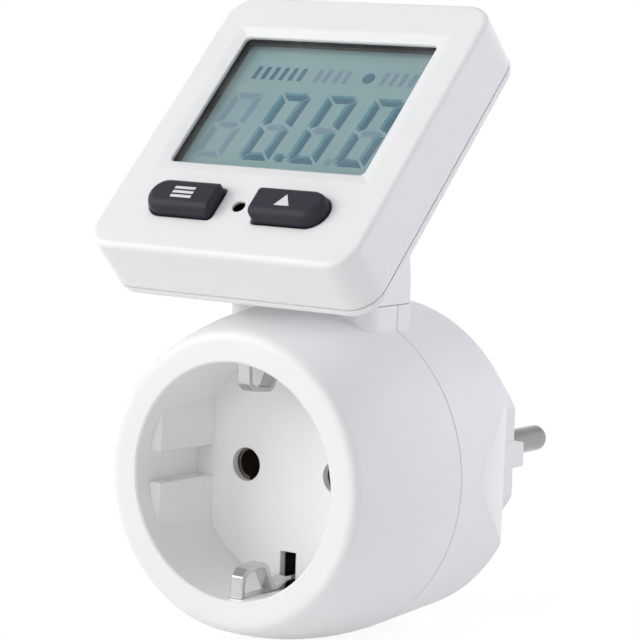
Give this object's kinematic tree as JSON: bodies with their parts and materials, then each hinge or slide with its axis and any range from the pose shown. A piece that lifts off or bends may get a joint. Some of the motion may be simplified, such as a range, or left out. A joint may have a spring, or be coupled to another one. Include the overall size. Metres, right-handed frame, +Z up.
{
  "type": "plug-in energy monitor",
  "caption": "Round plug-through socket adapter with a tilted liquid-crystal display head on a swivelling neck, press keys and a reset pinhole.",
  "frame": {"origin": "middle of the plug face, between the plug pins", "axes": "+Y out of the plug face into the wall socket, +Z up towards the display, +X to the viewer's right"},
  "size_m": [0.0584, 0.0921, 0.1092],
  "materials": {
    "white_plastic": "fine satin",
    "screw_steel": "zinc plated",
    "nickel_plate": "nickel plated",
    "contact_brass": "dull bronze",
    "carrier_plastic": "plain",
    "circuit_board": "solder mask",
    "black_component": "moulded",
    "shunt_alloy": "plain",
    "capacitor_film": "moulded box",
    "capacitor_sleeve": "shrink sleeve",
    "varistor_coat": "dipped",
    "cable_jacket": "plain",
    "spring_steel": "plain",
    "window_clear": "clear",
    "black_foam": "closed foam",
    "lcd_glass": "grey-green display glass",
    "lcd_foil": "diffuse foil",
    "zebra_rubber": "layered",
    "mat_rubber": "plain",
    "plunger_plastic": "plain",
    "key_plastic": "dark satin",
    "carbon_pill": "conductive"
  },
  "bodies": {
    "body": {"front_housing": "white_plastic", "rear_housing": "white_plastic", "housing_screws": "screw_steel", "plug_pin_live": "nickel_plate", "plug_pin_neutral": "nickel_plate", "plug_earth_strip_upper": "nickel_plate", "plug_earth_strip_lower": "nickel_plate", "socket_contact_live": "contact_brass", "socket_contact_neutral": "contact_brass", "contact_carrier": "carrier_plastic", "earth_clip_upper": "nickel_plate", "earth_clip_lower": "nickel_plate", "earth_bridge": "nickel_plate", "measuring_board": "circuit_board", "measuring_board_screws": "screw_steel", "metering_chip": "black_component", "shunt_strip": "shunt_alloy", "dropper_capacitor": "capacitor_film", "smoothing_capacitor": "capacitor_sleeve", "varistor": "varistor_coat", "board_resistors": "black_component", "body_cable": "cable_jacket", "swivel_washer": "spring_steel"},
    "head": {"display_back": "white_plastic", "display_bezel": "white_plastic", "head_screws": "screw_steel", "display_window": "window_clear", "lcd_gasket": "black_foam", "lcd_front_glass": "lcd_glass", "lcd_rear_glass": "lcd_glass", "lcd_reflector": "lcd_foil", "zebra_strip": "zebra_rubber", "display_board": "circuit_board", "display_board_screws": "screw_steel", "controller_blob": "black_component", "crystal": "spring_steel", "backup_cell": "spring_steel", "cell_clip": "spring_steel", "keypad_mat": "mat_rubber", "reset_switch": "black_component", "cable_connector": "carrier_plastic", "head_cable": "cable_jacket"},
    "mode_key": {"mode_key": "key_plastic", "mode_key_pill": "carbon_pill"},
    "up_key": {"up_key": "key_plastic", "up_key_pill": "carbon_pill"},
    "reset_plunger": {"reset_plunger": "plunger_plastic"}
  },
  "joints": [
    {"name": "head_swivel", "type": "hinge", "parent": "body", "child": "head", "pos_m": [0, -0.0401, 0.0293], "axis": [0, 0, 1], "range_deg": [-90, 90]},
    {"name": "mode_key_press", "type": "slide", "parent": "head", "child": "mode_key", "axis": [0, 0.7071, -0.7071], "range_m": [0, 0.0009], "stiffness_N_per_m": 800, "springref_m": -0.0005},
    {"name": "up_key_press", "type": "slide", "parent": "head", "child": "up_key", "axis": [0, 0.7071, -0.7071], "range_m": [0, 0.0009], "stiffness_N_per_m": 800, "springref_m": -0.0005},
    {"name": "reset_press", "type": "slide", "parent": "head", "child": "reset_plunger", "axis": [0, 0.7071, -0.7071], "range_m": [0, 0.0003], "stiffness_N_per_m": 1500, "springref_m": -0.0002}
  ]
}
